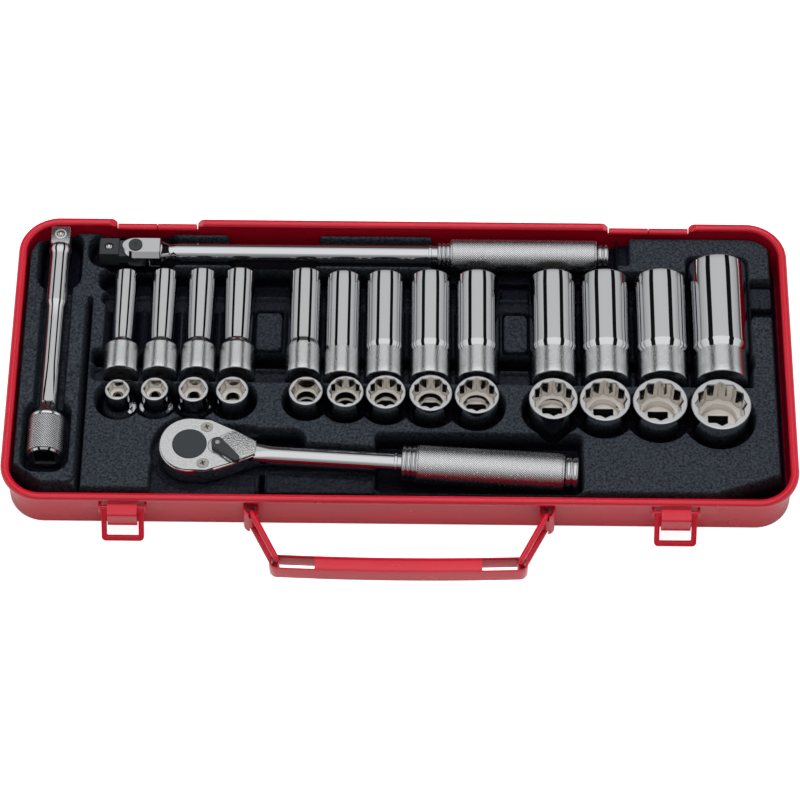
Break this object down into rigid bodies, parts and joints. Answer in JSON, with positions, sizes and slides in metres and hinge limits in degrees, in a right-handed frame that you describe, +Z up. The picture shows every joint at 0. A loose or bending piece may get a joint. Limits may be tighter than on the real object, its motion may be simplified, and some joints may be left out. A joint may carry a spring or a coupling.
{
  "type": "socket wrench set in case",
  "caption": "Open steel case with a moulded tray holding standing and deep sockets, a ratchet, a hinge handle and an extension bar; carrying handle and draw latches in front.",
  "frame": {"origin": "centre of the case's flat bottom face", "axes": "+X along the case's length to the right, +Y to the hinge side at the rear, +Z up; the carrying handle and latches are at -Y"},
  "size_m": [0.378, 0.195, 0.0311],
  "materials": {
    "red_paint": "gloss",
    "zinc_steel": "satin",
    "tray_plastic": "fine grain",
    "bright_chrome": "mirror",
    "satin_chrome": "satin",
    "black_phosphate": "matte",
    "polished_ball": "mirror",
    "spring_steel": "satin"
  },
  "bodies": {
    "case": {"case_body": "red_paint", "hinge_leaves": "red_paint", "tray_insert": "tray_plastic", "latch_brackets": "red_paint", "latch_pins": "zinc_steel", "handle_brackets": "red_paint"},
    "latch_lever_left": {"latch_lever_left": "red_paint"},
    "latch_lever_right": {"latch_lever_right": "red_paint"},
    "latch_claw_left": {"latch_claw_left": "red_paint"},
    "latch_claw_right": {"latch_claw_right": "red_paint"},
    "handle_grip": {"handle_grip": "red_paint"},
    "handle_link_left": {"handle_link_left": "red_paint"},
    "handle_link_right": {"handle_link_right": "red_paint"},
    "extension": {"extension_bar": "bright_chrome", "extension_ball_spring": "spring_steel"},
    "extension_ball": {"extension_ball": "polished_ball"},
    "hinge_handle": {"hinge_handle_shank": "bright_chrome", "hinge_handle_grip": "bright_chrome", "hinge_handle_pin": "black_phosphate"},
    "hinge_handle_head": {"hinge_handle_head": "black_phosphate", "hinge_handle_ball_spring": "spring_steel"},
    "hinge_handle_ball": {"hinge_handle_ball": "polished_ball"},
    "ratchet": {"ratchet_body": "bright_chrome", "ratchet_grip": "bright_chrome", "ratchet_cover": "satin_chrome", "ratchet_cover_screws": "satin_chrome", "ratchet_detent_spring": "spring_steel"},
    "ratchet_gear": {"ratchet_gear": "black_phosphate", "ratchet_drive_ball_spring": "spring_steel"},
    "ratchet_drive_ball": {"ratchet_drive_ball": "polished_ball"},
    "ratchet_lever": {"ratchet_lever": "black_phosphate"},
    "ratchet_pawl": {"ratchet_pawl": "black_phosphate"},
    "ratchet_detent": {"ratchet_detent": "polished_ball"},
    "socket_08mm": {"socket_08mm": "bright_chrome"},
    "deep_socket_08mm": {"deep_socket_08mm": "bright_chrome"},
    "socket_09mm": {"socket_09mm": "bright_chrome"},
    "deep_socket_09mm": {"deep_socket_09mm": "bright_chrome"},
    "socket_10mm": {"socket_10mm": "bright_chrome"},
    "deep_socket_10mm": {"deep_socket_10mm": "bright_chrome"},
    "socket_11mm": {"socket_11mm": "bright_chrome"},
    "deep_socket_11mm": {"deep_socket_11mm": "bright_chrome"},
    "socket_12mm": {"socket_12mm": "bright_chrome"},
    "deep_socket_12mm": {"deep_socket_12mm": "bright_chrome"},
    "socket_13mm": {"socket_13mm": "bright_chrome"},
    "deep_socket_13mm": {"deep_socket_13mm": "bright_chrome"},
    "socket_14mm": {"socket_14mm": "bright_chrome"},
    "deep_socket_14mm": {"deep_socket_14mm": "bright_chrome"},
    "socket_15mm": {"socket_15mm": "bright_chrome"},
    "deep_socket_15mm": {"deep_socket_15mm": "bright_chrome"},
    "socket_16mm": {"socket_16mm": "bright_chrome"},
    "deep_socket_16mm": {"deep_socket_16mm": "bright_chrome"},
    "socket_17mm": {"socket_17mm": "bright_chrome"},
    "deep_socket_17mm": {"deep_socket_17mm": "bright_chrome"},
    "socket_18mm": {"socket_18mm": "bright_chrome"},
    "deep_socket_18mm": {"deep_socket_18mm": "bright_chrome"},
    "socket_19mm": {"socket_19mm": "bright_chrome"},
    "deep_socket_19mm": {"deep_socket_19mm": "bright_chrome"},
    "socket_21mm": {"socket_21mm": "bright_chrome"},
    "deep_socket_21mm": {"deep_socket_21mm": "bright_chrome"}
  },
  "joints": [
    {"name": "latch_lever_left_swing", "type": "hinge", "parent": "case", "child": "latch_lever_left", "pos_m": [-0.1303, -0.0823, 0.0202], "axis": [1, 0, 0], "range_deg": [-60, 30]},
    {"name": "latch_claw_left_swing", "type": "hinge", "parent": "latch_lever_left", "child": "latch_claw_left", "pos_m": [-0.1303, -0.08511, 0.01656], "axis": [1, 0, 0], "range_deg": [0, 25]},
    {"name": "latch_lever_right_swing", "type": "hinge", "parent": "case", "child": "latch_lever_right", "pos_m": [0.1303, -0.0823, 0.0202], "axis": [1, 0, 0], "range_deg": [-60, 30]},
    {"name": "latch_claw_right_swing", "type": "hinge", "parent": "latch_lever_right", "child": "latch_claw_right", "pos_m": [0.1303, -0.08511, 0.01656], "axis": [1, 0, 0], "range_deg": [0, 25]},
    {"name": "handle_grip_fold", "type": "slide", "parent": "case", "child": "handle_grip", "axis": [0, 1, 0], "range_m": [0, 0.024]},
    {"name": "handle_link_left_swing", "type": "hinge", "parent": "case", "child": "handle_link_left", "pos_m": [-0.07, -0.0829, 0.013], "axis": [0, 0, 1], "range_deg": [0, 60.19]},
    {"name": "handle_link_right_swing", "type": "hinge", "parent": "case", "child": "handle_link_right", "pos_m": [0.07, -0.0829, 0.013], "axis": [0, 0, 1], "range_deg": [-60.19, 0]},
    {"name": "extension_lift", "type": "slide", "parent": "case", "child": "extension", "axis": [0, 0, 1], "range_m": [0, 0.06]},
    {"name": "hinge_handle_lift", "type": "slide", "parent": "case", "child": "hinge_handle", "axis": [0, 0, 1], "range_m": [0, 0.06]},
    {"name": "ratchet_lift", "type": "slide", "parent": "case", "child": "ratchet", "axis": [0, 0, 1], "range_m": [0, 0.06]},
    {"name": "socket_08mm_lift", "type": "slide", "parent": "case", "child": "socket_08mm", "axis": [0, 0, 1], "range_m": [0, 0.06]},
    {"name": "deep_socket_08mm_lift", "type": "slide", "parent": "case", "child": "deep_socket_08mm", "axis": [0, 0, 1], "range_m": [0, 0.06]},
    {"name": "socket_09mm_lift", "type": "slide", "parent": "case", "child": "socket_09mm", "axis": [0, 0, 1], "range_m": [0, 0.06]},
    {"name": "deep_socket_09mm_lift", "type": "slide", "parent": "case", "child": "deep_socket_09mm", "axis": [0, 0, 1], "range_m": [0, 0.06]},
    {"name": "socket_10mm_lift", "type": "slide", "parent": "case", "child": "socket_10mm", "axis": [0, 0, 1], "range_m": [0, 0.06]},
    {"name": "deep_socket_10mm_lift", "type": "slide", "parent": "case", "child": "deep_socket_10mm", "axis": [0, 0, 1], "range_m": [0, 0.06]},
    {"name": "socket_11mm_lift", "type": "slide", "parent": "case", "child": "socket_11mm", "axis": [0, 0, 1], "range_m": [0, 0.06]},
    {"name": "deep_socket_11mm_lift", "type": "slide", "parent": "case", "child": "deep_socket_11mm", "axis": [0, 0, 1], "range_m": [0, 0.06]},
    {"name": "socket_12mm_lift", "type": "slide", "parent": "case", "child": "socket_12mm", "axis": [0, 0, 1], "range_m": [0, 0.06]},
    {"name": "deep_socket_12mm_lift", "type": "slide", "parent": "case", "child": "deep_socket_12mm", "axis": [0, 0, 1], "range_m": [0, 0.06]},
    {"name": "socket_13mm_lift", "type": "slide", "parent": "case", "child": "socket_13mm", "axis": [0, 0, 1], "range_m": [0, 0.06]},
    {"name": "deep_socket_13mm_lift", "type": "slide", "parent": "case", "child": "deep_socket_13mm", "axis": [0, 0, 1], "range_m": [0, 0.06]},
    {"name": "socket_14mm_lift", "type": "slide", "parent": "case", "child": "socket_14mm", "axis": [0, 0, 1], "range_m": [0, 0.06]},
    {"name": "deep_socket_14mm_lift", "type": "slide", "parent": "case", "child": "deep_socket_14mm", "axis": [0, 0, 1], "range_m": [0, 0.06]},
    {"name": "socket_15mm_lift", "type": "slide", "parent": "case", "child": "socket_15mm", "axis": [0, 0, 1], "range_m": [0, 0.06]},
    {"name": "deep_socket_15mm_lift", "type": "slide", "parent": "case", "child": "deep_socket_15mm", "axis": [0, 0, 1], "range_m": [0, 0.06]},
    {"name": "socket_16mm_lift", "type": "slide", "parent": "case", "child": "socket_16mm", "axis": [0, 0, 1], "range_m": [0, 0.06]},
    {"name": "deep_socket_16mm_lift", "type": "slide", "parent": "case", "child": "deep_socket_16mm", "axis": [0, 0, 1], "range_m": [0, 0.06]},
    {"name": "socket_17mm_lift", "type": "slide", "parent": "case", "child": "socket_17mm", "axis": [0, 0, 1], "range_m": [0, 0.06]},
    {"name": "deep_socket_17mm_lift", "type": "slide", "parent": "case", "child": "deep_socket_17mm", "axis": [0, 0, 1], "range_m": [0, 0.06]},
    {"name": "socket_18mm_lift", "type": "slide", "parent": "case", "child": "socket_18mm", "axis": [0, 0, 1], "range_m": [0, 0.06]},
    {"name": "deep_socket_18mm_lift", "type": "slide", "parent": "case", "child": "deep_socket_18mm", "axis": [0, 0, 1], "range_m": [0, 0.06]},
    {"name": "socket_19mm_lift", "type": "slide", "parent": "case", "child": "socket_19mm", "axis": [0, 0, 1], "range_m": [0, 0.06]},
    {"name": "deep_socket_19mm_lift", "type": "slide", "parent": "case", "child": "deep_socket_19mm", "axis": [0, 0, 1], "range_m": [0, 0.06]},
    {"name": "socket_21mm_lift", "type": "slide", "parent": "case", "child": "socket_21mm", "axis": [0, 0, 1], "range_m": [0, 0.06]},
    {"name": "deep_socket_21mm_lift", "type": "slide", "parent": "case", "child": "deep_socket_21mm", "axis": [0, 0, 1], "range_m": [0, 0.06]},
    {"name": "extension_ball_press", "type": "slide", "parent": "extension", "child": "extension_ball", "axis": [0, 0, -1], "range_m": [0, 0.0009], "stiffness_N_per_m": 600, "deforming": ["extension_ball_spring"]},
    {"name": "hinge_handle_head_swivel", "type": "hinge", "parent": "hinge_handle", "child": "hinge_handle_head", "pos_m": [-0.1317, 0.0656, 0.0185], "axis": [0, 0, 1], "range_deg": [-15, 15]},
    {"name": "hinge_handle_ball_press", "type": "slide", "parent": "hinge_handle_head", "child": "hinge_handle_ball", "axis": [0, 0, -1], "range_m": [0, 0.0009], "stiffness_N_per_m": 600, "deforming": ["hinge_handle_ball_spring"]},
    {"name": "ratchet_gear_spin", "type": "hinge", "parent": "ratchet", "child": "ratchet_gear", "pos_m": [-0.1, -0.049, 0.0174], "axis": [0, 0, 1], "continuous": true},
    {"name": "ratchet_drive_ball_press", "type": "slide", "parent": "ratchet_gear", "child": "ratchet_drive_ball", "axis": [-0.9983, 0.0576, 0], "range_m": [0, 0.0009], "stiffness_N_per_m": 600},
    {"name": "ratchet_lever_throw", "type": "hinge", "parent": "ratchet", "child": "ratchet_lever", "pos_m": [-0.08652, -0.04978, 0.0244], "axis": [0, 0, 1], "range_deg": [0, 78]},
    {"name": "ratchet_pawl_rock", "type": "hinge", "parent": "ratchet", "child": "ratchet_pawl", "pos_m": [-0.08652, -0.04978, 0.0174], "axis": [0, 0, 1], "range_deg": [0, 24]},
    {"name": "ratchet_detent_press", "type": "slide", "parent": "ratchet", "child": "ratchet_detent", "axis": [0.9983, -0.0576, 0], "range_m": [0, 0.0004], "stiffness_N_per_m": 300}
  ],
  "couplings": [
    {"joint": "handle_link_left_swing", "follows": "handle_grip_fold", "rad_per_m": 43.404},
    {"joint": "handle_link_right_swing", "follows": "handle_grip_fold", "rad_per_m": -43.404},
    {"joint": "ratchet_pawl_rock", "follows": "ratchet_lever_throw", "ratio": 0.30769}
  ]
}
